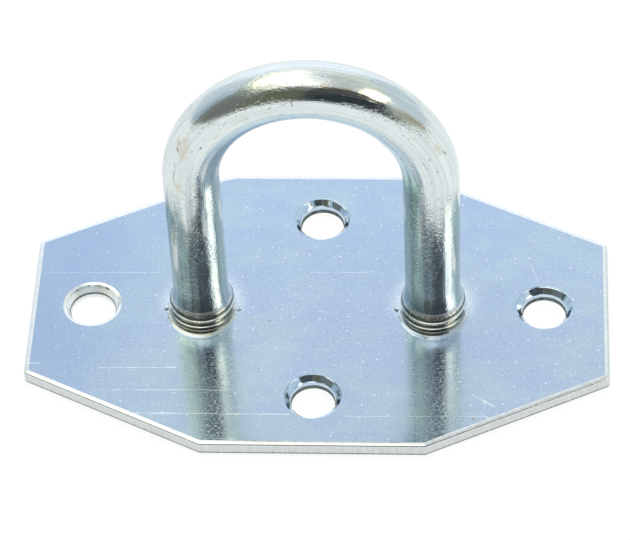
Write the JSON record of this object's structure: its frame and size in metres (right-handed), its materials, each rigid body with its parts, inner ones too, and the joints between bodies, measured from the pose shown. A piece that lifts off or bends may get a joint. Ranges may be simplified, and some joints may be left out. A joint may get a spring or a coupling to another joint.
{
  "type": "d hook",
  "caption": "D-shaped steel bow riveted upright to a flat eight-sided plate with countersunk screw holes, for hanging a chain, strap or snap hook.",
  "frame": {"origin": "centre of the plate's back face, which goes against the wall, beam or ceiling", "axes": "+Z out of the plate towards the crown of the bow, +X along the plate's long side and in the bow's plane, +Y towards the plate's shorter long edge"},
  "size_m": [0.1, 0.062, 0.0602],
  "materials": {
    "zinc_sheet": "bright zinc plated rolled sheet, pale blue passivation, fine grain and light scratches",
    "zinc_bar": "bright zinc plated drawn bar, satin on the bend with small pits and a few tan stains"
  },
  "bodies": {
    "root": {"base_plate": "zinc_sheet", "bow": "zinc_bar"}
  },
  "joints": []
}
